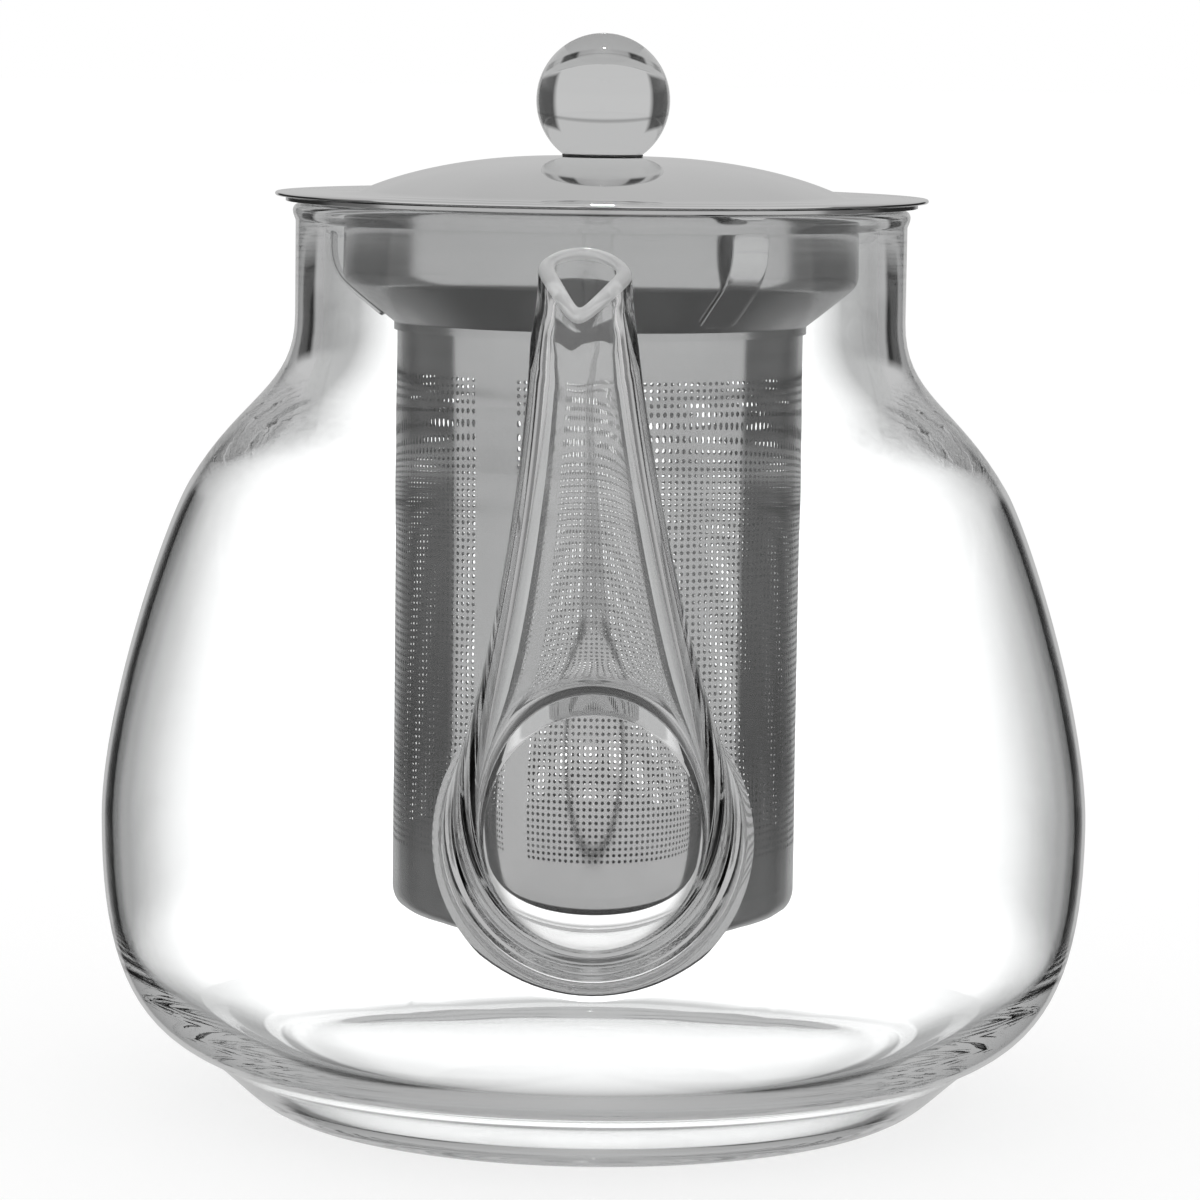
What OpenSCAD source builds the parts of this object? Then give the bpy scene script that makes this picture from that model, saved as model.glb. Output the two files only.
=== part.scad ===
// Glass teapot with a steel infuser, a steel lid and a glass ball knob.
// Millimetres. The origin is the centre of the foot on the table, +Z is up,
// the spout points along -Y and the handle along +Y.

/* [Pot] */
// Widest diameter of the pot
pot_width = 149.7; // [144:0.1:160]
// Height of the widest ring above the table
belly_height = 43; // [38:0.5:50]
// Diameter of the ring the pot stands on
foot_width = 99; // [90:0.5:106]
// Diameter of the crease between foot and belly
crease_width = 121.2; // [114:0.2:128]
// Height of the crease between foot and belly
foot_height = 8.6; // [7:0.1:11]
// Diameter where the belly turns into the shoulder
shoulder_width = 123.6; // [118:0.2:132]
// Height where the belly turns into the shoulder
shoulder_height = 93.6; // [88:0.1:97]
// Steepness of the wall there, from the horizontal
shoulder_slope = 59.6; // [52:0.1:66]
// Outer diameter of the neck
neck_width = 92; // [90:0.1:98]
// Height where the neck becomes a straight cylinder
neck_height = 119; // [116:0.1:124]
// Height of the glass rim above the table
rim_height = 135.8; // [133:0.1:142]
// Height of the thickened bead round the rim
bead_height = 2.7; // [2:0.1:4]
// How far the bead stands out from the neck
bead_out = 0.7; // [0.3:0.1:1.5]
// Glass thickness at the belly
belly_wall = 1.6; // [1.4:0.1:3]
// Glass thickness at the neck
neck_wall = 4.2; // [3.2:0.1:4.8]
// Glass thickness of the floor
floor_wall = 3; // [2.4:0.1:4.5]
// How far the middle of the floor is pushed up
floor_rise = 2.4; // [1:0.1:4]
// Width of the flat ring that touches the table
foot_ring = 3.2; // [2:0.1:5]

/* [Spout] */
// Height of the centre of the spout's root
spout_root_height = 51.3; // [46:0.1:56]
// Diameter of the flared root on the belly
spout_root_width = 42.8; // [38:0.1:46]
// Diameter of the hole through the belly
spout_hole = 32.4; // [28:0.1:34]
// Outer diameter at the mouth
spout_mouth_width = 13.4; // [12:0.1:16]
// Distance of the mouth's centre in front of the axis
spout_reach = 104; // [98:0.5:112]
// Height of the mouth's centre
spout_mouth_height = 128.8; // [122:0.1:134]
// Glass thickness at the mouth
spout_wall = 2.2; // [1.6:0.1:2.6]
// How far the pouring beak sticks out
beak_length = 0.5; // [0:0.1:3]
// Lean of the mouth to one side, as hand work leaves it
spout_lean = -2.2; // [-3:0.1:3]
// Turn of the beak to the same side, in degrees
beak_turn = 6; // [0:1:12]

/* [Handle] */
// Diameter of the glass rod
rod_width = 10.6; // [8:0.1:13]
// Distance of the rod's centre behind the axis
handle_reach = 112; // [104:0.5:120]
// Height where the handle joins the shoulder
handle_top = 112.5; // [109:0.1:114]
// Height where the handle joins the belly
handle_bottom = 50; // [44:0.5:58]

/* [Infuser] */
// Outer diameter of the perforated tube
tube_width = 61.2; // [56:0.1:63]
// Height of the tube's closed lower end above the table
infuser_floor_height = 29; // [22:0.5:40]
// Depth of the cup, from the glass rim down to the tube
cup_depth = 17.4; // [15:0.1:20]
// Slope of the cone from the horizontal
cone_slope = 43; // [38:0.5:48]
// Radius of the bend between the cup's wall and its cone
cup_bend = 3.6; // [3:0.1:5]
// Thickness of the steel sheet
sheet = 0.5; // [0.4:0.05:0.7]
// How far the flange reaches out past the neck
flange_over = 1.5; // [0.5:0.1:2.5]
// Height of the pressed cap that closes the tube
cap_height = 4.5; // [4:0.1:8]
// Radius of the cap's lower edge
cap_bend = 3; // [2:0.1:3.5]

/* [Perforation] */
// Rows of holes
hole_rows = 13; // [6:1:16]
// Columns of holes round the tube, one of them left plain for the seam
hole_columns = 36; // [24:1:40]
// Diameter of one hole
hole_width = 2.4; // [1.5:0.1:3.2]
// Plain band between the cap and the centres of the lowest row
plain_below = 8; // [5:0.5:12]
// Plain band between the centres of the highest row and the cone
plain_above = 9.4; // [6:0.2:18]
// Direction of the seam, anticlockwise from +X seen from above
seam_angle = 241; // [0:1:359]

/* [Clips] */
// Width of a clip's strip
clip_width = 5.6; // [4.5:0.1:7]
// Thickness of a clip's strip
clip_sheet = 0.5; // [0.4:0.05:0.7]
// Depth of a clip's free end below the glass rim
clip_drop = 2.0; // [1.5:0.1:5]
// Length of strip that lies along the cone below the bend
clip_foot_inset = 1.4; // [1:0.1:2]
// Radius of a clip's bend
clip_bend = 9.5; // [8:0.1:11]

/* [Lid] */
// How far the lid's brim reaches out past the neck
brim_over = 3.1; // [2.6:0.1:5]
// Distance of the dome's foot inside the locating ring
dome_inset = 1.1; // [0.8:0.1:4]
// Height of the dome above the brim
dome_height = 5.7; // [4:0.1:8]
// Thickness of the lid's sheet
lid_sheet = 0.6; // [0.5:0.05:0.9]
// Depth of the locating ring under the lid
lid_ring_depth = 4.6; // [3:0.1:5]

/* [Knob] */
// Diameter of the glass ball
ball_width = 20.1; // [18:0.1:24]
// Diameter of the ball's ground seat
ball_seat = 12.2; // [10:0.1:13]
// Thickness of the gasket under the ball
gasket_sheet = 0.4; // [0.3:0.05:0.8]
// Diameter of the screw's shank
screw_width = 2.6; // [2:0.1:3]
// How far the screw reaches into the ball
screw_reach = 1.6; // [1:0.1:3]

/* [Fits] */
// Gap between parts that rest on each other but lift apart
seat_gap = 0.25; // [0.2:0.05:0.4]
// Gap round the locating ring inside the cup
ring_gap = 0.4; // [0.3:0.05:0.6]
// Gap between the cup and the bore of the neck
cup_gap = 3; // [2.4:0.1:5]
// Gap between a clip at rest and the bore of the neck
clip_gap = 0.3; // [0.2:0.05:0.6]
// Distance of the spout's and the handle's end faces from the pot they are fused to
fuse_gap = 0.03; // [0.02:0.01:0.1]

/* [Hidden] */
$fn = 96;

// Directions of the three clips, evenly spaced
clip_angles = [180, 300, 60];

pot_r = pot_width / 2;
foot_r = foot_width / 2;
crease_r = crease_width / 2;
shoulder_r = shoulder_width / 2;
neck_r = neck_width / 2;
neck_bore_r = neck_r - neck_wall;
cup_r = neck_bore_r - cup_gap;
tube_r = tube_width / 2;
clip_r = neck_bore_r - clip_gap;

// Levels that stack up from the rim
flange_z = rim_height + seat_gap;
brim_z = flange_z + sheet + seat_gap;
lid_top_z = brim_z + dome_height + lid_sheet;
ball_base_z = lid_top_z + gasket_sheet;

// Levels that hang down from it
cone_foot_z = rim_height - cup_depth;
clip_top_z = rim_height - clip_drop;

// ---- Curves ----

function bezier_at(a, b, c, d, t) =
    pow(1 - t, 3) * a + 3 * pow(1 - t, 2) * t * b + 3 * (1 - t) * t * t * c + pow(t, 3) * d;

function bezier(a, b, c, d, steps, first = 0) =
    [for (i = [first : steps]) bezier_at(a, b, c, d, i / steps)];

function unit(v) = v / norm(v);

// 0 below a, 1 above b and a smooth step between
function ease(a, b, x) =
    let (s = min(1, max(0, (x - a) / (b - a))))
    s * s * (3 - 2 * s);

function mix(a, b, s) = a + (b - a) * s;

// ---- Outline of the pot, as [radius, height] from the foot up to the rim ----

shoulder = [shoulder_r, shoulder_height];
shoulder_run = [-cos(shoulder_slope), sin(shoulder_slope)];

outer_side = concat(
    bezier([foot_r, 0], [foot_r + 2.6, 0.2], [crease_r - 5.6, foot_height - 4.4],
           [crease_r, foot_height], 6),
    bezier([crease_r, foot_height], [crease_r + 10, foot_height + 3.8],
           [pot_r, belly_height - 20.5], [pot_r, belly_height], 12, 1),
    bezier([pot_r, belly_height], [pot_r, belly_height + 16],
           shoulder - 7.4 * shoulder_run, shoulder, 14, 1),
    bezier(shoulder, shoulder + 15 * shoulder_run,
           [neck_r, neck_height - 11.3], [neck_r, neck_height], 14, 1));

// Glass thickness at a height: foot and neck are thicker than the belly
function wall_at(z) =
    let (foot_wall = mix(floor_wall, belly_wall, ease(foot_height, belly_height * 0.6, z)))
    mix(foot_wall, neck_wall, ease(shoulder_height, neck_height - 4, z));

// The point of the inner face that lies square behind point i of the outer face
function behind(side, i) =
    let (a = side[max(i - 1, 0)], b = side[min(i + 1, len(side) - 1)], run = unit(b - a))
    side[i] + wall_at(side[i][1]) * [-run[1], run[0]];

inner_side = [for (i = [3 : len(outer_side) - 2]) behind(outer_side, i)];

bead_curve = bezier([neck_r, rim_height - bead_height],
                    [neck_r + bead_out * 0.4, rim_height - bead_height * 0.7],
                    [neck_r + bead_out * 2, rim_height], [neck_r - neck_wall * 0.4, rim_height], 8);

pot_section = concat(
    [[0, floor_rise]],
    bezier([foot_r * 0.45, floor_rise], [foot_r * 0.7, floor_rise],
           [foot_r - foot_ring - 4, 0], [foot_r - foot_ring, 0], 6),
    outer_side,
    bead_curve,
    [[neck_bore_r + 0.5, rim_height - 0.2], [neck_bore_r, rim_height - 1], [neck_bore_r, neck_height]],
    [for (i = [len(inner_side) - 1 : -1 : 0]) inner_side[i]],
    bezier([foot_r - 0.6, floor_wall + 0.5], [foot_r - 4, floor_wall - 0.2],
           [foot_r * 0.7, floor_rise + floor_wall], [foot_r * 0.45, floor_rise + floor_wall], 6),
    [[0, floor_rise + floor_wall]]);

side_by_height = [for (p = outer_side) [p[1], p[0]]];

// Distance from the axis to the pot's outer face at a height
function pot_face(z) = lookup(z, side_by_height);

// A point just off the pot's outer face at x and z, in front (-1) or behind (+1)
function on_pot(x, z, side) = [x, side * sqrt(pow(pot_face(z) + fuse_gap, 2) - x * x), z];

// ---- Swept skins ----

// Faces between rings of equal length, ring after ring
function ring_faces(rings, sides, around) =
    [for (k = [0 : rings - (around ? 1 : 2)], j = [0 : sides - 1])
        let (a = k * sides, b = ((k + 1) % rings) * sides, n = (j + 1) % sides)
        each [[a + j, b + j, b + n], [a + j, b + n, a + n]]];

// A closed tube wall: the last ring joins the first
module tube_skin(rings) {
    sides = len(rings[0]);
    polyhedron(points = [for (r = rings) each r], faces = ring_faces(len(rings), sides, true));
}

// A solid rod whose two ends are fans round a middle point
module rod_skin(rings, start, end) {
    sides = len(rings[0]);
    count = len(rings);
    fan = count * sides;
    polyhedron(
        points = concat([for (r = rings) each r], [start, end]),
        faces = concat(ring_faces(count, sides, false),
            [for (j = [0 : sides - 1]) [fan, j, (j + 1) % sides]],
            [for (j = [0 : sides - 1])
                [fan + 1, fan - sides + (j + 1) % sides, fan - sides + j]]));
}

// ---- Spout ----

// The tube is laid out between two edges seen from the side, as [distance in front of the
// axis, height]: the front edge runs from the foot of the root to the beak, the back edge
// from the top of the root to the back of the mouth.
spout_sides = 32;
spout_steps = 20;
mouth_tilt = 46;
spout_root_r = spout_root_width / 2;
spout_mouth_r = spout_mouth_width / 2;
mouth_centre = [spout_reach, spout_mouth_height];
mouth_front = [sin(mouth_tilt), -cos(mouth_tilt)];

function root_edge(z) = [pot_face(z), z];

front_start = root_edge(spout_root_height - spout_root_r);
front_end = mouth_centre + (spout_mouth_r + beak_length) * mouth_front;
back_start = root_edge(spout_root_height + spout_root_r);
back_end = mouth_centre - spout_mouth_r * 0.93 * mouth_front;

function front_edge(t) =
    bezier_at(front_start, front_start + [20, 8], front_end - [6, 39.5], front_end, t);
function back_edge(t) =
    bezier_at(back_start, back_start + [9, 2], back_end - [9.5, 36.8], back_end, t);

// Half the tube's breadth, seen from the front
function spout_breadth(t) =
    bezier_at(spout_root_r, spout_root_r - 2.2, spout_mouth_r + 2.0, spout_mouth_r - 0.3, t);

// Glass thickness: heavy where the tube is fused to the belly
function spout_wall_at(t) = mix(spout_wall, spout_root_r - spout_hole / 2, pow(1 - t, 3));

// Round at the root, drawn to a rounded triangle at the mouth
function mouth_draw(t, turn) = 1 + 0.11 * ease(0.8, 1, t) * cos(3 * (turn - 90 - beak_turn));

// One section of the tube, a distance inside its outer face
function spout_ring(t, in) =
    let (front = front_edge(t), back = back_edge(t), mid = (front + back) / 2,
         half = (front - back) / 2, deep = norm(half) - in, wide = spout_breadth(t) - in)
    [for (j = [0 : spout_sides - 1])
        let (turn = 360 * j / spout_sides, p = mid + unit(half) * deep * sin(turn) * mouth_draw(t, turn))
        [spout_lean * t * t + wide * cos(turn) * mouth_draw(t, turn), -p[0], p[1]]];

// The root's rings lie on the belly
function spout_root_ring(radius) =
    [for (j = [0 : spout_sides - 1])
        let (turn = 360 * j / spout_sides)
        on_pot(radius * cos(turn), spout_root_height - radius * sin(turn), -1)];

// The lip is rounded: one ring stands half a wall above the mouth's plane
spout_lip = [for (p = spout_ring(1, spout_wall / 2))
    p + spout_wall / 2 * [0, -cos(mouth_tilt), sin(mouth_tilt)]];

module spout() {
    color("aliceblue", 0.4)
        tube_skin(concat(
            [spout_root_ring(spout_root_r)],
            [for (i = [1 : spout_steps]) spout_ring(i / spout_steps, 0)],
            [spout_lip],
            [for (i = [spout_steps : -1 : 1])
                spout_ring(i / spout_steps, spout_wall_at(i / spout_steps))],
            [spout_root_ring(spout_hole / 2),
             spout_root_ring((spout_hole / 2 + spout_root_r) / 2)]));
}

// ---- Pot ----

module glass_body() {
    color("aliceblue", 0.4)
        difference() {
            rotate_extrude() polygon(pot_section);
            translate([0, 0, spout_root_height])
                rotate([90, 0, 0])
                    translate([0, 0, pot_r * 0.6]) cylinder(d = spout_hole, h = pot_r);
        }
}

// ---- Handle ----

handle_sides = 20;
handle_steps = 16;
handle_mid = [handle_reach, mix(handle_bottom, handle_top, 0.66)];
handle_start = [pot_face(handle_top), handle_top];
handle_end = [pot_face(handle_bottom), handle_bottom];

// The rod's centre line as [distance behind the axis, height]: down the outside in two bends
function handle_line(t) = t < 0.5
    ? bezier_at(handle_start, handle_start + 30 * [cos(24), sin(24)],
                handle_mid + [0, 24], handle_mid, t * 2)
    : bezier_at(handle_mid, handle_mid - [0, 24],
                handle_end + [26, -2], handle_end, t * 2 - 1);

function handle_tilt(t) =
    let (d = handle_line(min(1, t + 0.01)) - handle_line(max(0, t - 0.01)))
    atan2(d[1], d[0]);

// The rod swells where it is fused to the pot
function handle_radius(t) =
    rod_width / 2 * (1 + 0.4 * pow(1 - min(1, t / 0.12), 2) + 0.4 * pow(1 - min(1, (1 - t) / 0.12), 2));

function handle_ring(t) =
    let (c = handle_line(t), tilt = handle_tilt(t), r = handle_radius(t))
    [for (j = [0 : handle_sides - 1])
        let (turn = 360 * j / handle_sides)
        [r * cos(turn), c[0] - r * sin(turn) * sin(tilt), c[1] + r * sin(turn) * cos(tilt)]];

// The last rings at either end lie on the pot's face
function handle_foot_ring(z, side, share) =
    [for (j = [0 : handle_sides - 1])
        let (turn = 360 * j / handle_sides, r = share * rod_width / 2 * 1.45)
        on_pot(r * cos(turn), z + side * r * sin(turn), 1)];

module handle() {
    color("aliceblue", 0.4)
        rod_skin(concat(
                [handle_foot_ring(handle_top, 1, 0.5), handle_foot_ring(handle_top, 1, 1)],
                [for (i = [1 : handle_steps * 2 - 1]) handle_ring(i / handle_steps / 2)],
                [handle_foot_ring(handle_bottom, -1, 1), handle_foot_ring(handle_bottom, -1, 0.5)]),
            on_pot(0, handle_top, 1), on_pot(0, handle_bottom, 1));
}

// ---- Infuser ----

function arc(centre, radius, from, to, steps) =
    [for (i = [0 : steps])
        let (a = mix(from, to, i / steps))
        centre + radius * [cos(a), sin(a)]];

// Outer face of the cup: the bend is tangent to the wall and to the cone
cone_run = cup_r - tube_r - sheet - cup_bend * (1 - cos(90 - cone_slope));
bend_z = cone_foot_z + cone_run * tan(cone_slope) + cup_bend * sin(90 - cone_slope);
collar_height = 1.2;
flange_bend = 1.2;

// Section of the cup moved inwards by a distance, from the collar up to the flange
function cup_line(in) = concat(
    [[tube_r + sheet - in, cone_foot_z - collar_height],
     [tube_r + sheet - in, cone_foot_z + in * tan(cone_slope / 2)]],
    arc([cup_r - cup_bend, bend_z], cup_bend - in, cone_slope - 90, 0, 8),
    arc([cup_r + flange_bend, flange_z - flange_bend], flange_bend + in, 180, 90, 6),
    [[neck_r + flange_over, flange_z + in]]);

module infuser_cup() {
    inside = cup_line(sheet);
    color("silver")
        rotate_extrude()
            polygon(concat(cup_line(0), [for (i = [len(inside) - 1 : -1 : 0]) inside[i]]));
}

cap_top_z = infuser_floor_height + cap_height;

// One radial hole
module wall_hole(angle, z) {
    translate([0, 0, z])
        rotate([0, 90, angle])
            translate([0, 0, tube_r - sheet * 3]) cylinder(d = hole_width, h = sheet * 6, $fn = 24);
}

module infuser_tube() {
    lowest = cap_top_z + plain_below;
    row_step = (cone_foot_z - plain_above - lowest) / (hole_rows - 1);
    color("silver")
        difference() {
            translate([0, 0, cap_top_z])
                cylinder(r = tube_r, h = cone_foot_z - cap_top_z);
            translate([0, 0, cap_top_z - 1])
                cylinder(r = tube_r - sheet, h = cone_foot_z - cap_top_z + 2);
            for (row = [0 : hole_rows - 1], column = [1 : hole_columns - 1])
                wall_hole(seam_angle + 360 * column / hole_columns, lowest + row * row_step);
        }
}

module infuser_bottom() {
    color("silver")
        translate([0, 0, infuser_floor_height])
            rotate_extrude()
                polygon(concat(
                    [[0, 0]],
                    arc([tube_r - cap_bend, cap_bend], cap_bend, -90, 0, 8),
                    [[tube_r, cap_height], [tube_r - sheet, cap_height]],
                    arc([tube_r - cap_bend, cap_bend], cap_bend - sheet, 0, -90, 8),
                    [[0, sheet]]));
}

// ---- Clips ----

// The strip starts low on the cone, follows it and bends upright near the neck
clip_lift = 0.1;
cone_dir = [cos(cone_slope), sin(cone_slope)];
cone_out = [sin(cone_slope), -cos(cone_slope)];
clip_foot = [tube_r + sheet, cone_foot_z] + cone_dir * (clip_foot_inset / cos(cone_slope)) + cone_out * clip_lift;
clip_knee_run = (clip_r - clip_bend * (1 - sin(cone_slope)) - clip_sheet - clip_foot[0]) / cos(cone_slope);
clip_knee = clip_foot + cone_dir * clip_knee_run;
clip_centre = clip_knee - cone_out * clip_bend;

function clip_line(out) = concat(
    [clip_foot + cone_out * out],
    arc(clip_centre, clip_bend + out, cone_slope - 90, 0, 8),
    [[clip_centre[0] + clip_bend + out, clip_top_z]]);

module clip(angle) {
    inside = clip_line(0);
    outside = clip_line(clip_sheet);
    strip = concat(outside, [for (i = [len(inside) - 1 : -1 : 0]) inside[i]]);
    corner = clip_width * 0.22;
    color("silver")
        rotate([0, 0, angle])
            intersection() {
                rotate([90, 0, 0])
                    translate([0, 0, -clip_width / 2]) linear_extrude(clip_width) polygon(strip);
                // Rounded free end, seen along the radius
                rotate([90, 0, 90])
                    linear_extrude(pot_r)
                        union() {
                            translate([-clip_width / 2, cone_foot_z - 10])
                                square([clip_width, clip_top_z - corner - cone_foot_z + 10]);
                            translate([corner - clip_width / 2, clip_top_z - corner - 1])
                                square([clip_width - 2 * corner, corner + 1]);
                            for (side = [-1, 1])
                                translate([side * (clip_width / 2 - corner), clip_top_z - corner])
                                    circle(r = corner);
                        }
            }
}

module clip_left() { clip(clip_angles[0]); }
module clip_right() { clip(clip_angles[1]); }
module clip_back() { clip(clip_angles[2]); }

// ---- Lid ----

lid_r = neck_r + brim_over;
lid_ring_r = cup_r - sheet - ring_gap;
dome_r = lid_ring_r - dome_inset;
pad_r = ball_seat / 2 + 1;

// Upper face of the lid moved down by a distance, from the flat pad out to the brim's edge
function lid_line(down) = concat(
    bezier([pad_r, lid_top_z - down], [18, lid_top_z - down],
           [dome_r - 7.6 - down * 0.3, brim_z + lid_sheet + 3.6 - down],
           [dome_r - down * 0.4, brim_z + lid_sheet - down], 14),
    [[lid_r, brim_z + lid_sheet - down]]);

module lid_disc() {
    under = lid_line(lid_sheet);
    color("gainsboro")
        difference() {
            rotate_extrude()
                polygon(concat([[0, lid_top_z - lid_sheet], [0, lid_top_z]], lid_line(0),
                               [for (i = [len(under) - 1 : -1 : 0]) under[i]]));
            translate([0, 0, lid_top_z - 3]) cylinder(d = screw_width, h = 6);
        }
}

module lid_ring() {
    color("silver")
        translate([0, 0, brim_z - lid_ring_depth])
            difference() {
                cylinder(r = lid_ring_r, h = lid_ring_depth);
                translate([0, 0, -1]) cylinder(r = lid_ring_r - sheet, h = lid_ring_depth + 2);
            }
}

// ---- Knob ----

ball_r = ball_width / 2;
ball_centre_z = ball_base_z + sqrt(pow(ball_r, 2) - pow(ball_seat / 2, 2));

module knob_ball() {
    color("white", 0.5)
        difference() {
            translate([0, 0, ball_centre_z]) sphere(r = ball_r);
            translate([0, 0, ball_base_z - ball_r]) cylinder(r = ball_r * 2, h = ball_r);
            translate([0, 0, ball_base_z - 1]) cylinder(d = screw_width, h = screw_reach + 1);
        }
}

module knob_gasket() {
    color("dimgray")
        translate([0, 0, lid_top_z])
            difference() {
                cylinder(d = ball_seat, h = gasket_sheet);
                translate([0, 0, -1]) cylinder(d = screw_width, h = gasket_sheet + 2);
            }
}

washer_sheet = 0.8;
washer_top_z = lid_top_z - lid_sheet;

module knob_washer() {
    color("silver")
        translate([0, 0, washer_top_z - washer_sheet])
            difference() {
                cylinder(d = screw_width * 3.4, h = washer_sheet);
                translate([0, 0, -1]) cylinder(d = screw_width, h = washer_sheet + 2);
            }
}

module knob_screw() {
    head_height = screw_width * 0.7;
    head_z = washer_top_z - washer_sheet;
    color("silver")
        difference() {
            union() {
                translate([0, 0, head_z - head_height]) cylinder(d = screw_width * 2, h = head_height);
                translate([0, 0, head_z - 0.1])
                    cylinder(d = screw_width, h = ball_base_z + screw_reach - head_z + 0.1);
            }
            // Hexagon socket
            translate([0, 0, head_z - head_height - 1])
                cylinder(d = screw_width * 0.9, h = 1 + head_height * 0.6, $fn = 6);
        }
}

glass_body();
spout();
handle();
infuser_cup();
infuser_tube();
infuser_bottom();
clip_left();
clip_right();
clip_back();
lid_disc();
lid_ring();
knob_ball();
knob_gasket();
knob_washer();
knob_screw();
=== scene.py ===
"""Clear glass teapot with a lift-out steel infuser, a domed steel lid and a glass ball knob."""

import math

import bmesh
import bpy
import numpy as np
from mathutils import Matrix, Vector


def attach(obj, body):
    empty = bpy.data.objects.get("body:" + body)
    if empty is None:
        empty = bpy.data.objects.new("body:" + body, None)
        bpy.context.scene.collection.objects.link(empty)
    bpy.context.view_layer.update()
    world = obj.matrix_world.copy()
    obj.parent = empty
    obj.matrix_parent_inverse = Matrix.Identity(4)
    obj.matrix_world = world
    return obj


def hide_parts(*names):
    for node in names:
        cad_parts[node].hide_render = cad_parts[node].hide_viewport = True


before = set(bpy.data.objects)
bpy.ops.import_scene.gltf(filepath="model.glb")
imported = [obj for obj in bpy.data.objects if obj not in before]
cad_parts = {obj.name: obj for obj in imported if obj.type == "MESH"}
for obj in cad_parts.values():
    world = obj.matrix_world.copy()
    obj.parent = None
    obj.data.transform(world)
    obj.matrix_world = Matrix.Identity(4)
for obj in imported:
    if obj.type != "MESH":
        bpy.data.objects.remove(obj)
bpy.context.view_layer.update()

# ---- Glass body ----
# A round belly, shoulder and straight neck of clear heat-proof glass, blown in one piece on a
# pushed-up floor. The neck is thick and ends in a fire-polished bead. Sizes are in millimetres.
MM = 0.001
AROUND = 192
foot_r, crease_r, belly_r, shoulder_r, neck_r = 49.5, 60.6, 74.85, 61.8, 46.0
crease_z, belly_z, shoulder_z, neck_z, rim_z = 8.6, 43.0, 93.6, 119.0, 135.8
belly_wall, neck_wall, floor_wall, floor_rise, foot_ring = 1.6, 4.2, 3.0, 2.4, 3.2
bead_height, bead_out = 2.7, 0.7
bore_r = neck_r - neck_wall


def mix(a, b, share):
    """The value a share of the way from a to b."""
    return a + (b - a) * share


def ease(a, b, x):
    """0 below a, 1 above b and a smooth step between."""
    share = min(1, max(0, (x - a) / (b - a)))
    return share * share * (3 - 2 * share)


def curve_at(a, b, c, d, t):
    """The point at t on the cubic curve with handles b and c."""
    weights = ((1 - t) ** 3, 3 * (1 - t) ** 2 * t, 3 * (1 - t) * t * t, t**3)
    return tuple(sum(w * p[i] for w, p in zip(weights, (a, b, c, d))) for i in range(len(a)))


def curve(a, b, c, d, steps, first=0):
    return [curve_at(a, b, c, d, i / steps) for i in range(first, steps + 1)]


def glass_side(fine):
    """The outer outline of the pot from the foot up to the bead, as (radius, height)."""
    lean = math.radians(59.6)
    run = (-math.cos(lean), math.sin(lean))
    before = (shoulder_r - 7.4 * run[0], shoulder_z - 7.4 * run[1])
    after = (shoulder_r + 15 * run[0], shoulder_z + 15 * run[1])
    crease, shoulder = (crease_r, crease_z), (shoulder_r, shoulder_z)
    belly, neck = (belly_r, belly_z), (neck_r, neck_z)
    return (
        curve((foot_r, 0), (foot_r + 2.6, 0.2), (crease_r - 5.6, crease_z - 4.4), crease, 8 * fine)
        + curve(crease, (crease_r + 10, crease_z + 3.8), (belly_r, belly_z - 20.5), belly, 18 * fine, 1)
        + curve(belly, (belly_r, belly_z + 16), before, shoulder, 25 * fine, 1)
        + curve(shoulder, after, (neck_r, neck_z - 11.3), neck, 16 * fine, 1)
    )


def wall_at(z):
    """Glass thickness: foot and neck are heavier than the belly."""
    foot_wall = mix(floor_wall, belly_wall, ease(crease_z, belly_z * 0.6, z))
    return mix(foot_wall, neck_wall, ease(shoulder_z, neck_z - 4, z))


def inside_of(side):
    """The inner face, square behind each point of the outer one."""
    found = []
    for i in range(3, len(side) - 1):
        (r0, z0), (r1, z1) = side[i - 1], side[i + 1]
        length = math.hypot(r1 - r0, z1 - z0)
        wall = wall_at(side[i][1])
        found.append((side[i][0] - wall * (z1 - z0) / length, side[i][1] + wall * (r1 - r0) / length))
    return found


def turned(name, line, steps=AROUND):
    """A piece made by turning a line of (radius, height) once round the pot's axis."""
    bpy.ops.mesh.primitive_plane_add(size=MM, location=(line[0][0] * MM, 0, line[0][1] * MM))
    piece = bpy.context.object
    piece.name = piece.data.name = name
    bpy.ops.object.transform_apply(location=True)
    bpy.ops.object.mode_set(mode="EDIT")
    bpy.ops.mesh.select_mode(type="VERT")
    bpy.ops.mesh.select_all(action="SELECT")
    bpy.ops.mesh.merge(type="CENTER")
    for (r0, z0), (r1, z1) in zip(line, line[1:]):
        step = ((r1 - r0) * MM, 0, (z1 - z0) * MM)
        bpy.ops.mesh.extrude_vertices_move(TRANSFORM_OT_translate={"value": step})
    bpy.ops.mesh.select_all(action="SELECT")
    bpy.ops.mesh.spin(steps=steps, angle=2 * math.pi, center=(0, 0, 0), axis=(0, 0, 1))
    bpy.ops.mesh.select_all(action="SELECT")
    bpy.ops.mesh.remove_doubles(threshold=1e-6)
    bpy.ops.mesh.normals_make_consistent(inside=False)
    bpy.ops.object.mode_set(mode="OBJECT")
    bpy.ops.object.shade_smooth()
    return piece


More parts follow.
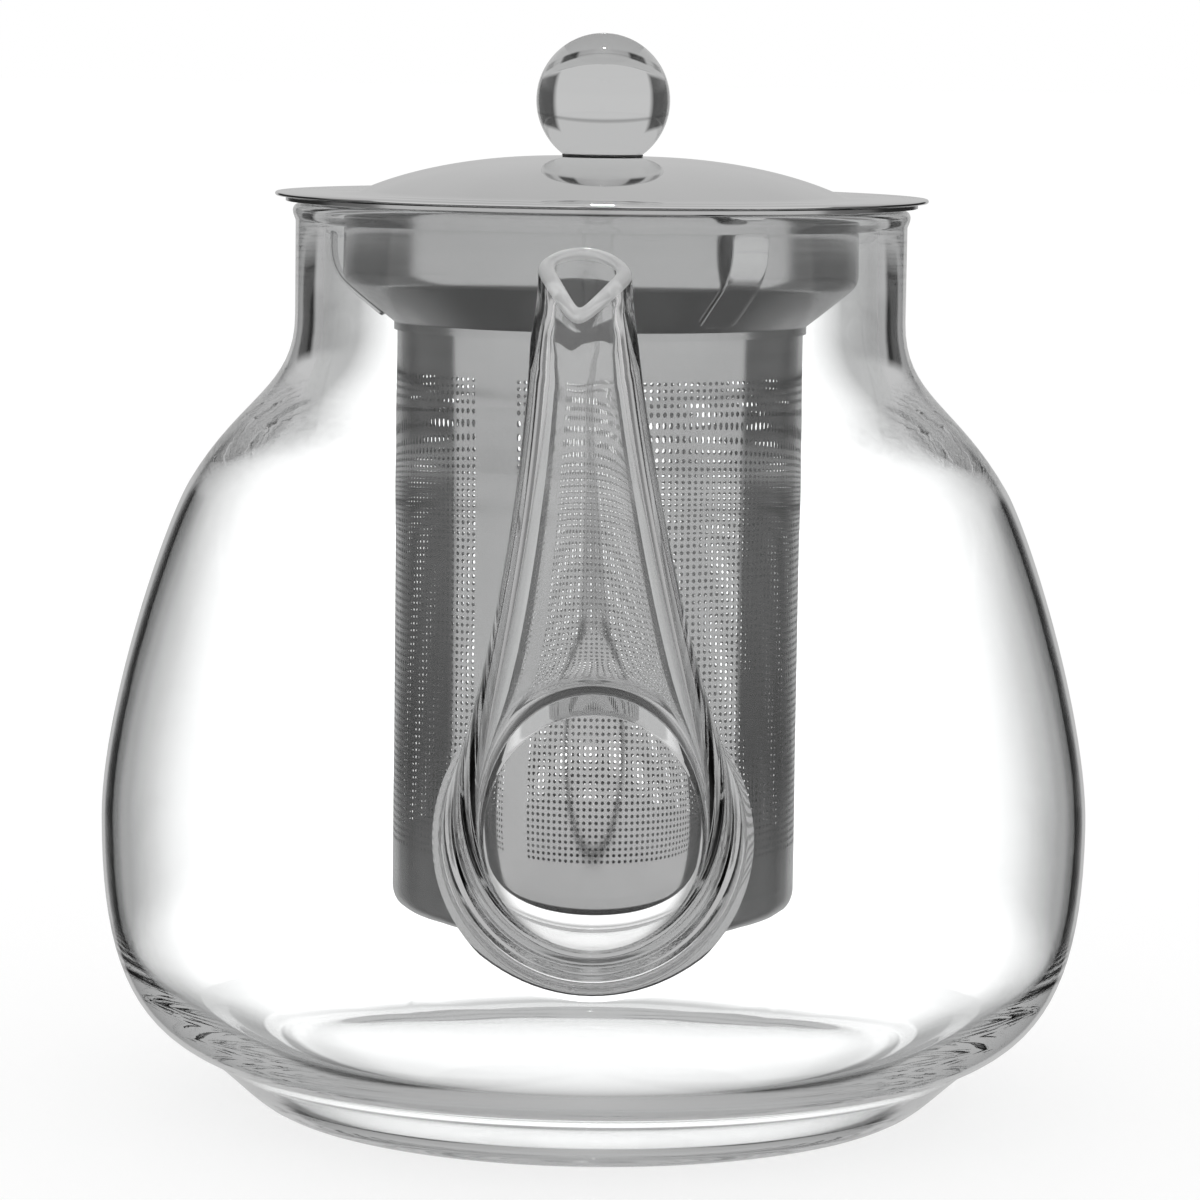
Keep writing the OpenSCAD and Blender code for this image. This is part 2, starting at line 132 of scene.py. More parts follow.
outer_side = glass_side(1)
inner_side = inside_of(outer_side)
foot_in_r = foot_r - foot_ring
inside_floor = floor_rise + floor_wall
body_line = (
    [(0, floor_rise)]
    + curve((foot_r * 0.2, floor_rise), (foot_r * 0.7, floor_rise), (foot_in_r - 4, 0), (foot_in_r, 0), 14)
    + [(foot_in_r + foot_ring / 2, 0)]
    + outer_side
    + curve(
        (neck_r, rim_z - bead_height),
        (neck_r + bead_out * 0.4, rim_z - bead_height * 0.7),
        (neck_r + bead_out * 2, rim_z),
        (neck_r - neck_wall * 0.4, rim_z),
        12,
    )
    + curve(
        (neck_r - neck_wall * 0.7, rim_z),
        (bore_r + 0.3, rim_z),
        (bore_r, rim_z - 0.4),
        (bore_r, rim_z - 1.4),
        6,
    )
    + [(bore_r, mix(neck_z, rim_z, 0.5)), (bore_r, neck_z)]
    + inner_side[::-1]
    + curve(
        (foot_r - 0.6, floor_wall + 0.5),
        (foot_r - 4, floor_wall - 0.2),
        (foot_r * 0.7, inside_floor),
        (foot_r * 0.2, inside_floor),
        14,
    )
    + [(0, inside_floor)]
)
glass_body = turned("glass_body_blown", body_line)

# The window for the spout is opened in both skins, and the skin round it is drawn to a true circle.
root_z, root_r, hole_r, root_flare, throat_flare = 51.3, 21.4, 16.2, 0.7, 2.2
outer_skin = np.array(glass_side(12))
inner_skin = np.array(inside_of(glass_side(12)))


def face_of(skin, z):
    """Distance of a skin of the pot from the axis at a height."""
    return float(np.interp(z, skin[:, 1], skin[:, 0]))


def on_skin(skin, x, z, side=-1):
    """The point of a skin at x and z, in front (-1) or behind (+1)."""
    return (x, side * math.sqrt(face_of(skin, z) ** 2 - x * x), z)


def on_face(point, outside):
    """Whether a point of the pot belongs to its outer or to its inner face."""
    x, y, z = point / MM
    return (math.hypot(x, y) > face_of(inner_skin, z) + 0.5 * wall_at(z)) == outside


def open_window(piece, outside, radius, low, high, columns):
    """Opens one skin in front and bridges the edge to a circle, whose number of points it gives back."""
    skin = outer_skin if outside else inner_skin
    half = math.radians(360 / AROUND) * columns / 2
    bpy.ops.object.mode_set(mode="EDIT")
    bpy.ops.mesh.select_mode(type="FACE")
    bpy.ops.mesh.select_all(action="DESELECT")
    net = bmesh.from_edit_mesh(piece.data)
    for face in net.faces:
        x, y, z = face.calc_center_median() / MM
        if low < z < high and y < 0 and abs(math.atan2(x, -y)) < half:
            face.select_set(on_face(face.calc_center_median(), outside))
    bpy.ops.mesh.delete(type="FACE")
    bpy.ops.mesh.select_mode(type="EDGE")
    net = bmesh.from_edit_mesh(piece.data)
    rim = [e for e in net.edges if e.is_boundary and all(on_face(v.co, outside) for v in e.verts)]
    count = len(rim)
    bpy.ops.mesh.primitive_circle_add(
        vertices=count,
        radius=radius * MM,
        location=(0, -2 * belly_r * MM, root_z * MM),
        rotation=(math.pi / 2, 0, 0),
    )
    net = bmesh.from_edit_mesh(piece.data)
    for edge in net.edges:
        ours = edge.is_boundary and all(on_face(v.co, outside) for v in edge.verts)
        edge.select_set(edge.is_wire or ours)
    bpy.ops.mesh.bridge_edge_loops(number_cuts=5, interpolation="LINEAR")
    net = bmesh.from_edit_mesh(piece.data)
    for v in net.verts:
        if v.select and v.co.y < 0:
            v.co = Vector(on_skin(skin, v.co.x / MM, v.co.z / MM)) * MM
    bmesh.update_edit_mesh(piece.data)
    bpy.ops.object.mode_set(mode="OBJECT")
    return count


window_low, window_high, window_columns = 26.8, 75.6, 22
ring_count = open_window(glass_body, True, root_r + root_flare, window_low, window_high, window_columns)
open_window(glass_body, False, hole_r + throat_flare, window_low, window_high, window_columns)


def glass_material(name, waves, clear=1.0):
    """Clear glass with the faint waves that blowing leaves in it. Below a clear of 1 the rest is white and
    matte, a painted highlight.
    """
    material = bpy.data.materials.new(name)
    material.use_nodes = True
    nodes, links = material.node_tree.nodes, material.node_tree.links
    shader = nodes["Principled BSDF"]
    shader.inputs["Base Color"].default_value = (0.985, 0.99, 0.99, 1)
    shader.inputs["Roughness"].default_value = 0.0
    shader.inputs["IOR"].default_value = 1.47
    shader.inputs["Transmission Weight"].default_value = clear
    place = nodes.new("ShaderNodeTexCoord")
    stretch = nodes.new("ShaderNodeMapping")
    stretch.inputs["Scale"].default_value = (1, 1, 2.6)
    noise = nodes.new("ShaderNodeTexNoise")
    noise.inputs["Scale"].default_value = 42
    noise.inputs["Detail"].default_value = 1.5
    bump = nodes.new("ShaderNodeBump")
    bump.inputs["Strength"].default_value = waves
    bump.inputs["Distance"].default_value = 0.001
    links.new(place.outputs["Object"], stretch.inputs["Vector"])
    links.new(stretch.outputs["Vector"], noise.inputs["Vector"])
    links.new(noise.outputs["Fac"], bump.inputs["Height"])
    links.new(bump.outputs["Normal"], shader.inputs["Normal"])
    return material


def fused_material():
    """The joint inside fused glass, which can't be seen."""
    material = bpy.data.materials.new("fused_joint")
    material.use_nodes = True
    nodes, links = material.node_tree.nodes, material.node_tree.links
    nodes.remove(nodes["Principled BSDF"])
    clear = nodes.new("ShaderNodeBsdfTransparent")
    links.new(clear.outputs["BSDF"], nodes["Material Output"].inputs["Surface"])
    return material


def painted_edge_shade(material, turns):
    """Glass painted black for light that has run round inside its wall for more than some turns, a painted
    shade along its edges.
    """
    nodes, links = material.node_tree.nodes, material.node_tree.links
    path, few = nodes.new("ShaderNodeLightPath"), nodes.new("ShaderNodeMath")
    few.operation = "LESS_THAN"
    few.inputs[1].default_value = turns + 0.5
    links.new(path.outputs["Glossy Depth"], few.inputs[0])
    # Painted shade: the base colour turns black once the light has run round more than the given turns
    links.new(few.outputs[0], nodes["Principled BSDF"].inputs["Base Color"])
    return material


blown_waves = 0.015
clear_glass = glass_material("clear_glass", blown_waves)
fused_joint = fused_material()


def close_joint(piece):
    """Closes the wall between the two circles of the spout's window with unseen faces."""
    bpy.context.view_layer.objects.active = piece
    piece.select_set(True)
    bpy.ops.object.mode_set(mode="EDIT")
    bpy.ops.mesh.select_mode(type="EDGE")
    bpy.ops.mesh.select_all(action="DESELECT")
    net = bmesh.from_edit_mesh(piece.data)
    for edge in net.edges:
        edge.select_set(edge.is_boundary)
    bpy.ops.mesh.mark_sharp()
    bpy.ops.mesh.bridge_edge_loops()
    piece.active_material_index = 1
    bpy.ops.object.material_slot_assign()
    bpy.ops.object.mode_set(mode="OBJECT")


glass_body.data.materials.append(clear_glass)
glass_body.data.materials.append(fused_joint)
close_joint(glass_body)
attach(glass_body, "pot")
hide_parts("glass_body")

# ---- Spout ----
# A drawn tube of the same glass, fused round the window in the belly with a small flare. It
# narrows upwards, and its mouth was pressed, while soft, to an arc behind and a V in front.
spout_wall, mouth_tilt, mouth_r = 2.0, math.radians(46), 6.7
mouth_centre, beak, beak_turn, spout_lean = (104.0, 128.8), 0.5, math.radians(6), -2.2
# Shares of the round mouth's radius: the arc behind, its width, the V's tip and where the V starts
outer_mouth = (1.0, 1.06, 1.165, 0.79)
inner_mouth = (1.06, 1.25, 0.946, 0.575)
tip_softness, corner_sharpness, pinch_start = 0.12, 10, 0.94
mouth_front = (math.sin(mouth_tilt), -math.cos(mouth_tilt))


def shifted(point, *moves):
    """A point moved by amounts along directions, given as (amount, direction) pairs."""
    return tuple(p + sum(a * d[i] for a, d in moves) for i, p in enumerate(point))


front_start = (face_of(outer_skin, root_z - root_r), root_z - root_r)
front_end = shifted(mouth_centre, (mouth_r + beak, mouth_front))
back_start = (face_of(outer_skin, root_z + root_r), root_z + root_r)
back_end = shifted(mouth_centre, (-mouth_r * 0.93, mouth_front))
front_handles = shifted(front_start, (1, (20, 8))), shifted(front_end, (-1, (6, 39.5)))
back_handles = shifted(back_start, (1, (9, 2))), shifted(back_end, (-1, (9.5, 36.8)))


def mouth_outline(angle, inwards):
    """The mouth's outline as a share of a round one, by the angle from the tip of the V."""
    back, wide, tip, side = (mix(a, b, inwards) for a, b in zip(outer_mouth, inner_mouth))
    ahead, aside = math.cos(angle), math.sin(angle)
    arc = math.hypot(ahead / back, aside / wide)
    line = max(0, ahead / tip + math.hypot(aside, tip_softness) / side)
    return (arc**corner_sharpness + line**corner_sharpness) ** (-1 / corner_sharpness)


def spout_point(t, turn, wall):
    """A point of the tube: t runs up it, turn round it, and wall is the depth below its outer face."""
    front = curve_at(front_start, *front_handles, front_end, t)
    back = curve_at(back_start, *back_handles, back_end, t)
    breadth = curve_at((root_r,), (root_r - 2.2,), (mouth_r + 2.0,), (mouth_r - 0.3,), t)[0] - wall
    middle = ((front[0] + back[0]) / 2, (front[1] + back[1]) / 2)
    half = ((front[0] - back[0]) / 2, (front[1] - back[1]) / 2)
    reach = math.hypot(*half)
    depth = (reach - wall) / reach
    pressed = mouth_outline(turn - math.pi / 2 - beak_turn, min(1, wall / spout_wall))
    draw = mix(1, pressed, ease(pinch_start, 1, t))
    x = spout_lean * t * t + breadth * math.cos(turn) * draw
    ahead = middle[0] + half[0] * depth * math.sin(turn) * draw
    return Vector((x, -ahead, middle[1] + half[1] * depth * math.sin(turn) * draw))


def tube_wall(t):
    """The thickness of the tube's wall, heavy only at its root."""
    return mix(spout_wall, root_r - hole_r, (1 - t) ** 6)


def root_point(skin, radius, turn):
    return Vector(on_skin(skin, radius * math.cos(turn), root_z - radius * math.sin(turn)))


def fillet(turn, skin, edge_r, t, wall):
    """Points from the pot's skin onto the tube, leaving the one and meeting the other smoothly."""
    start, end = root_point(skin, edge_r, turn), spout_point(t, turn, wall(t))
    along_skin = (root_point(skin, edge_r - 0.2, turn) - start).normalized()
    along_tube = (spout_point(t + 0.01, turn, wall(t + 0.01)) - end).normalized()
    reach = (end - start).length * fillet_swell
    handles = start + along_skin * reach, end - along_tube * reach
    return [Vector(curve_at(start, *handles, end, i / fillet_steps)) for i in range(fillet_steps)]


def sleeve(name, rings):
    """A skin drawn ring by ring from a circle as a straight sleeve, each ring then put in its place."""
    sides = len(rings[0])
    bpy.ops.mesh.primitive_circle_add(vertices=sides, radius=1)
    piece = bpy.context.object
    piece.name = piece.data.name = name
    bpy.ops.object.mode_set(mode="EDIT")
    bpy.ops.mesh.select_mode(type="EDGE")
    bpy.ops.mesh.select_all(action="SELECT")
    for _ in rings[1:]:
        bpy.ops.mesh.extrude_region_move(TRANSFORM_OT_translate={"value": (0, 0, 1)})
    bpy.ops.object.mode_set(mode="OBJECT")
    for v in piece.data.vertices:
        turn = round(math.atan2(v.co.y, v.co.x) / (2 * math.pi) * sides) % sides
        v.co = Vector(rings[round(v.co.z)][turn]) * MM
    bpy.ops.object.shade_smooth()
    return piece


turns = [2 * math.pi * j / ring_count for j in range(ring_count)]
join_t, throat_t, tube_steps, lip_steps = 0.1, 0.06, 44, 8
fillet_steps, fillet_swell = 7, 0.42
outer_fillet = [fillet(a, outer_skin, root_r + root_flare, join_t, lambda t: 0) for a in turns]
throat_fillet = [fillet(a, inner_skin, hole_r + throat_flare, throat_t, tube_wall) for a in turns]
rings = [[column[i] for column in outer_fillet] for i in range(fillet_steps)]
for i in range(tube_steps + 1):
    rings.append([spout_point(mix(join_t, 1, i / tube_steps), a, 0) for a in turns])
lip_up = Vector((0, -math.cos(mouth_tilt), math.sin(mouth_tilt)))
for i in range(1, lip_steps):
    swing = math.pi * i / lip_steps
    inset, lift = spout_wall / 2 * (1 - math.cos(swing)), spout_wall / 2 * math.sin(swing)
    rings.append([spout_point(1, a, inset) + lip_up * lift for a in turns])
for i in range(tube_steps, -1, -1):
    t = mix(throat_t, 1, i / tube_steps)
    rings.append([spout_point(t, a, tube_wall(t)) for a in turns])
rings += [[column[i] for column in throat_fillet] for i in range(fillet_steps - 1, -1, -1)]
spout = sleeve("spout_drawn", rings)
# The spout's glass is painted black for light past three turns in its wall, painted shade for its dark
# edges
spout.data.materials.append(painted_edge_shade(glass_material("drawn_glass", blown_waves), 3))
spout.data.materials.append(fused_joint)
close_joint(spout)
# The lip was melted smooth in a flame; its glass is made partly white and matte, a painted highlight of
# the light it catches
spout.data.materials.append(glass_material("lip_painted_highlight", blown_waves, 0.4))
mouth_middle, above_mouth, lip_slot = Vector((0, -mouth_centre[0], mouth_centre[1])), 0.02, 2
for face in spout.data.polygons:
    if (face.center / MM - mouth_middle).dot(lip_up) > above_mouth:
        face.material_index = lip_slot
bpy.ops.object.mode_set(mode="EDIT")
bpy.ops.mesh.select_all(action="SELECT")
bpy.ops.mesh.normals_make_consistent(inside=False)
bpy.ops.object.mode_set(mode="OBJECT")
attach(spout, "pot")
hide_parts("spout")

# ---- Handle ----
# A solid rod of the same glass, bent into an ear and fused to the shoulder and the belly. The rod
# swells a little where it was pressed on while soft.
rod_r, handle_reach, handle_top, handle_bottom = 5.3, 112.0, 112.5, 50.0
handle_sides, handle_steps, press_depth = 48, 96, 0.35
handle_mid = (handle_reach, mix(handle_bottom, handle_top, 0.66))
handle_start = (face_of(outer_skin, handle_top), handle_top)
handle_end = (face_of(outer_skin, handle_bottom), handle_bottom)


def handle_line(t):
    """The rod's centre line, as (distance behind the axis, height)."""
    rise = (math.cos(math.radians(24)), math.sin(math.radians(24)))
    if t < 0.5:
        handles = shifted(handle_start, (30, rise)), shifted(handle_mid, (1, (0, 24)))
        return curve_at(handle_start, *handles, handle_mid, t * 2)
    handles = shifted(handle_mid, (-1, (0, 24))), shifted(handle_end, (1, (26, -2)))
    return curve_at(handle_mid, *handles, handle_end, t * 2 - 1)


def handle_radius(t):
    """The rod's radius, with a swelling towards both ends."""
    near = max(0, 1 - min(t, 1 - t) / 0.1)
    return rod_r * (1 + 0.42 * near**2.6)


def handle_point(t, turn):
    """A point of the rod: t runs along it and turn round it."""
    ahead, behind = handle_line(min(1, t + 0.004)), handle_line(max(0, t - 0.004))
    tilt = math.atan2(ahead[1] - behind[1], ahead[0] - behind[0])
    centre, r = handle_line(t), handle_radius(t)
    out = r * math.sin(turn)
    return Vector((r * math.cos(turn), centre[0] - out * math.sin(tilt), centre[1] + out * math.cos(tilt)))


def handle_foot(z, side, turn):
    """The rod's end, pressed a little into the pot's face."""
    r = rod_r * 1.45
    x, height = r * math.cos(turn), z + side * r * math.sin(turn)
    reach = face_of(outer_skin, height) - press_depth
    return Vector((x, math.sqrt(reach**2 - x * x), height))


turns = [2 * math.pi * j / handle_sides for j in range(handle_sides)]
rings = [[handle_foot(handle_top, 1, a) for a in turns]]
rings += [[handle_point(i / handle_steps, a) for a in turns] for i in range(3, handle_steps - 2)]
rings.append([handle_foot(handle_bottom, -1, a) for a in turns])
handle = sleeve("handle_rod", rings)
bpy.ops.object.mode_set(mode="EDIT")
for low, high in ((handle_top - 12, handle_top + 12), (handle_bottom - 12, handle_bottom + 12)):
    bpy.ops.mesh.select_all(action="DESELECT")
    net = bmesh.from_edit_mesh(handle.data)
    for edge in net.edges:
        z = edge.verts[0].co.z / MM
        edge.select_set(edge.is_boundary and low < z < high)
    bpy.ops.mesh.edge_face_add()
bpy.ops.mesh.select_all(action="SELECT")
bpy.ops.mesh.normals_make_consistent(inside=False)
bpy.ops.object.mode_set(mode="OBJECT")
bpy.ops.object.shade_smooth_by_angle(angle=math.radians(50))
handle.data.materials.append(clear_glass)
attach(handle, "pot")
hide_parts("handle")

# ---- Infuser cup ----
# The cup that hangs the infuser in the neck, pressed and turned from one steel disc: a flange
# that rests on the glass rim, a straight wall, a bend and a cone down to the tube.
sheet, seat_gap, cup_gap, tube_r, cup_depth, cup_bend = 0.5, 0.25, 3.0, 30.6, 17.4, 3.6
cup_r = bore_r - cup_gap
cone_z, cone_slope = rim_z - cup_depth, math.radians(43)
flange_z, flange_r, flange_bend, collar = rim_z + seat_gap, neck_r + 1.5, 1.2, 1.2
bend_z = cone_z + (cup_r - tube_r - sheet - cup_bend * (1 - math.sin(cone_slope))) * math.tan(cone_slope)
bend_z += cup_bend * math.cos(cone_slope)


def arc(centre, radius, start, stop, steps):
    """Points on an arc, from one angle in degrees to another."""
    found = []
    for i in range(steps + 1):
        a = math.radians(mix(start, stop, i / steps))
        found.append((centre[0] + radius * math.cos(a), centre[1] + radius * math.sin(a)))
    return found


def cup_line(inset):
    """The cup's outline from the tube up to the flange, a depth inside its outer face."""
    return (
        [(tube_r + sheet - inset, cone_z - collar)]
        + [(tube_r + sheet - inset, cone_z + inset * math.tan(cone_slope / 2))]
        + arc((cup_r - cup_bend, bend_z), cup_bend - inset, 43 - 90, 0, 14)
        + [(cup_r - inset, mix(bend_z, flange_z, 0.5))]
        + arc((cup_r + flange_bend, flange_z - flange_bend), flange_bend + inset, 180, 90, 8)
        + [(mix(cup_r, flange_r, 0.6), flange_z + inset), (flange_r, flange_z + inset)]
    )


def steel_material(name, colour, rough, brush, depth):
    """Stainless steel with fine marks that run round or along the piece, and small stains."""
    material = bpy.data.materials.new(name)
    material.use_nodes = True
    nodes, links = material.node_tree.nodes, material.node_tree.links
    shader = nodes["Principled BSDF"]
    shader.inputs["Metallic"].default_value = 1.0
    place = nodes.new("ShaderNodeTexCoord")
    stretch = nodes.new("ShaderNodeMapping")
    stretch.inputs["Scale"].default_value = brush
    marks = nodes.new("ShaderNodeTexNoise")
    marks.inputs["Scale"].default_value = 260
    marks.inputs["Detail"].default_value = 4
    haze = nodes.new("ShaderNodeTexNoise")
    haze.inputs["Scale"].default_value = 34
    haze.inputs["Detail"].default_value = 3
    smooth = nodes.new("ShaderNodeMapRange")
    smooth.inputs["To Min"].default_value = rough * 0.8
    smooth.inputs["To Max"].default_value = rough * 1.25
    tone = nodes.new("ShaderNodeValToRGB")
    tone.color_ramp.elements[0].position = 0.3
    tone.color_ramp.elements[0].color = (*[c * 0.93 for c in colour], 1)
    tone.color_ramp.elements[1].position = 0.7
    tone.color_ramp.elements[1].color = (*colour, 1)
    bump = nodes.new("ShaderNodeBump")
    bump.inputs["Strength"].default_value = depth
    bump.inputs["Distance"].default_value = 0.0002
    links.new(place.outputs["Object"], stretch.inputs["Vector"])
    links.new(stretch.outputs["Vector"], marks.inputs["Vector"])
    links.new(place.outputs["Object"], haze.inputs["Vector"])
    links.new(marks.outputs["Fac"], smooth.inputs["Value"])
    links.new(haze.outputs["Fac"], tone.inputs["Fac"])
    links.new(tone.outputs["Color"], shader.inputs["Base Color"])
    links.new(smooth.outputs["Result"], shader.inputs["Roughness"])
    links.new(marks.outputs["Fac"], bump.inputs["Height"])
    links.new(bump.outputs["Normal"], shader.inputs["Normal"])
    return material


turned_steel = steel_material("turned_steel", (0.60, 0.60, 0.60), 0.17, (0.15, 0.15, 6), 0.04)
infuser_cup = turned("infuser_cup_pressed", cup_line(0) + cup_line(sheet)[::-1] + cup_line(0)[:1])
bpy.ops.object.shade_smooth_by_angle(angle=math.radians(40))
infuser_cup.data.materials.append(turned_steel)
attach(infuser_cup, "infuser")
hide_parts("infuser_cup")

# ---- Infuser tube ----
# A sheet of steel with thousands of fine holes in a square grid, rolled into a tube and welded
# along a plain seam. The sheet is plain above and below the holes. It is laid out flat in four
# panels, given its thickness and then rolled.
hole_rows, hole_columns, panel_count = 68, 183, 4
hole_low, hole_high, hole_width, tube_sheet = 39.5, 110.9, 0.6, 0.15
tube_low, tube_high, seam_angle, seam_width = 33.5, cone_z, math.radians(241), 6.5
pitch_z = (hole_high - hole_low) / hole_rows
pitch_x = (2 * math.pi * tube_r - seam_width) / hole_columns
rolled_steel = steel_material("rolled_steel", (0.62, 0.62, 0.62), 0.11, (3, 3, 0.3), 0.02)


def select_edges(piece, wanted):
    """Selects the open edges whose two ends both answer the test."""
    bpy.ops.mesh.select_mode(type="EDGE")
    bpy.ops.mesh.select_all(action="DESELECT")
    net = bmesh.from_edit_mesh(piece.data)
    for edge in net.edges:
        edge.select_set(edge.is_boundary and all(wanted(v.co / MM) for v in edge.verts))


def tube_panel(index):
    """One of the panels round the tube, with its share of the holes."""
    first = round(hole_columns * index / panel_count)
    columns = round(hole_columns * (index + 1) / panel_count) - first
    # One cell: a square with a round hole
    bpy.ops.mesh.primitive_grid_add(x_subdivisions=2, y_subdivisions=2, size=MM)
    piece = bpy.context.object
    piece.name = piece.data.name = f"infuser_tube_panel_{index + 1}"
    bpy.ops.object.mode_set(mode="EDIT")
    bpy.ops.mesh.select_mode(type="VERT")
    bpy.ops.mesh.select_all(action="DESELECT")
    net = bmesh.from_edit_mesh(piece.data)
    for v in net.verts:
        v.select_set(v.co.length < 0.1 * MM)
    bpy.ops.mesh.delete(type="VERT")
    bpy.ops.mesh.select_all(action="SELECT")
    bpy.ops.transform.resize(value=(pitch_x, pitch_z, 1))
    bpy.ops.mesh.primitive_circle_add(vertices=8, radius=hole_width / 2 * MM)
    bpy.ops.mesh.select_all(action="SELECT")
    bpy.ops.mesh.bridge_edge_loops()
    bpy.ops.object.mode_set(mode="OBJECT")
    for count, offset in ((columns, (pitch_x, 0, 0)), (hole_rows, (0, pitch_z, 0))):
        rows = piece.modifiers.new("rows", "ARRAY")
        rows.use_relative_offset = False
        rows.use_constant_offset = True
        rows.constant_offset_displace = Vector(offset) * MM
        rows.count = count
        rows.use_merge_vertices = True
        rows.merge_threshold = 1e-6
        bpy.ops.object.modifier_apply(modifier=rows.name)
    # The plain bands above, below and along the seam
    top, right = (hole_rows - 0.5) * pitch_z, (columns - 0.5) * pitch_x
    bpy.ops.object.mode_set(mode="EDIT")
    if index in (0, panel_count - 1):
        side = -1 if index == 0 else 1
        edge_x = -0.5 * pitch_x if index == 0 else right
        for _ in range(2):
            select_edges(piece, lambda p: abs(p.x - edge_x) < 0.01)
            step = side * seam_width / 4
            bpy.ops.mesh.extrude_region_move(TRANSFORM_OT_translate={"value": (step * MM, 0, 0)})
            edge_x += step
    for edge_y, reach in ((top, tube_high - hole_high), (-0.5 * pitch_z, tube_low - hole_low)):
        for _ in range(2):
            select_edges(piece, lambda p: abs(p.y - edge_y) < 0.01)
            bpy.ops.mesh.extrude_region_move(TRANSFORM_OT_translate={"value": (0, reach / 2 * MM, 0)})
            edge_y += reach / 2
    bpy.ops.mesh.select_all(action="SELECT")
    bpy.ops.mesh.normals_make_consistent(inside=False)
    bpy.ops.object.mode_set(mode="OBJECT")
    wall = piece.modifiers.new("wall", "SOLIDIFY")
    wall.thickness = tube_sheet * MM
    wall.offset = -1
    bpy.ops.object.modifier_apply(modifier=wall.name)
    # Rolling: x runs round the tube, y up it, and the thickness points to the axis
    net = bmesh.new()
    net.from_mesh(piece.data)
    outer_face = max(v.co.z for v in net.verts)
    for v in net.verts:
        angle = seam_angle + (seam_width / 2 + (first + 0.5) * pitch_x + v.co.x / MM) / tube_r
        radius = tube_r + (v.co.z - outer_face) / MM
        z = hole_low + 0.5 * pitch_z + v.co.y / MM
        v.co = Vector((radius * math.cos(angle), radius * math.sin(angle), z)) * MM
    net.to_mesh(piece.data)
    net.free()
    bpy.ops.object.shade_smooth_by_angle(angle=math.radians(30))
    piece.data.materials.append(rolled_steel)
    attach(piece, "infuser")
    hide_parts("infuser_tube")
    return piece


for index in range(panel_count):
    tube_panel(index)

# ---- Infuser bottom ----
# A shallow cap pressed from plain sheet and welded into the tube's lower end.
cap_z, cap_height, cap_bend = 29.0, 4.5, 3.0


def cap_line(inset):
    """The cap's outline from the axis out and up, a depth inside its outer face."""
    return (
        [(0, cap_z + inset), (10, cap_z + inset)]
        + arc((tube_r - cap_bend, cap_z + cap_bend), cap_bend - inset, -90, 0, 10)
        + [(tube_r - inset, cap_z + cap_height)]
    )


infuser_bottom = turned("infuser_bottom_cap", cap_line(0) + cap_line(sheet)[::-1])
bpy.ops.object.shade_smooth_by_angle(angle=math.radians(40))
infuser_bottom.data.materials.append(turned_steel)
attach(infuser_bottom, "infuser")
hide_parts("infuser_bottom")

# ---- Clips ----
# Three short strips of spring steel with round ends, welded under the cone. Each bends upright
# beside the cup and presses on the bore of the neck.
clip_width, clip_sheet, clip_bend, clip_drop, clip_gap = 5.6, 0.5, 9.5, 2.0, 0.3
clip_corner, clip_lift, clip_inset = clip_width * 0.22, 0.1, 1.4
cone_dir = (math.cos(cone_slope), math.sin(cone_slope))
cone_out = (math.sin(cone_slope), -math.cos(cone_slope))
clip_start = clip_inset / math.cos(cone_slope)
clip_foot = shifted((tube_r + sheet, cone_z), (clip_start, cone_dir), (clip_lift, cone_out))
clip_upright_r = bore_r - clip_gap - clip_bend * (1 - math.sin(cone_slope)) - clip_sheet
clip_run = (clip_upright_r - clip_foot[0]) / math.cos(cone_slope)
clip_knee = shifted(clip_foot, (clip_run, cone_dir))
clip_centre = shifted(clip_knee, (-clip_bend, cone_out))
clip_arc = clip_bend * (math.pi / 2 - cone_slope)
clip_stand = rim_z - clip_drop - clip_centre[1]
spring_steel = steel_material("spring_steel", (0.72, 0.72, 0.72), 0.14, (4, 0.4, 4), 0.02)


def clip_place(u, out):
    """The point a distance along the strip and out from its inner face, as (radius, height)."""
    if u < clip_run:
        return shifted(clip_foot, (u, cone_dir), (out, cone_out))
    if u < clip_run + clip_arc:
        a = cone_slope - math.pi / 2 + (u - clip_run) / clip_bend
        r = clip_bend + out
        return (clip_centre[0] + r * math.cos(a), clip_centre[1] + r * math.sin(a))
    return (clip_centre[0] + clip_bend + out, clip_centre[1] + u - clip_run - clip_arc)


